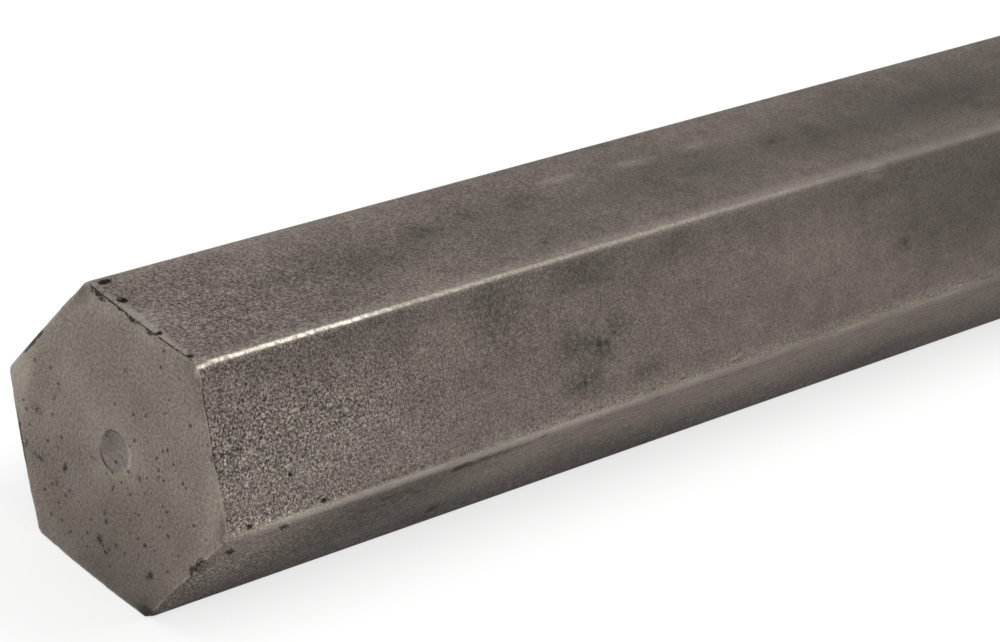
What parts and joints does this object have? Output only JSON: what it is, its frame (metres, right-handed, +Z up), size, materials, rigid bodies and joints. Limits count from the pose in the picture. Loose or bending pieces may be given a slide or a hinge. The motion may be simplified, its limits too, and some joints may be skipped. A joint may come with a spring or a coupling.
{
  "type": "hexagonal bar stock",
  "caption": "Straight length of hot-rolled hexagonal steel bar with rounded long corners, faced and chamfered ends and a shallow centre mark in one end.",
  "frame": {"origin": "middle of the flat that the bar lies on, at floor level", "axes": "+X along the bar, away from the end with the centre mark; +Z up, out of the top flat; -Y towards the side that the picture shows"},
  "size_m": [0.6096, 0.0436, 0.0381],
  "materials": {
    "mill_steel": "hot-rolled mill finish, warm grey and slightly gritty, with rubbed bright corners and a matt turned end"
  },
  "bodies": {
    "root": {"hex_bar": "mill_steel"}
  },
  "joints": []
}
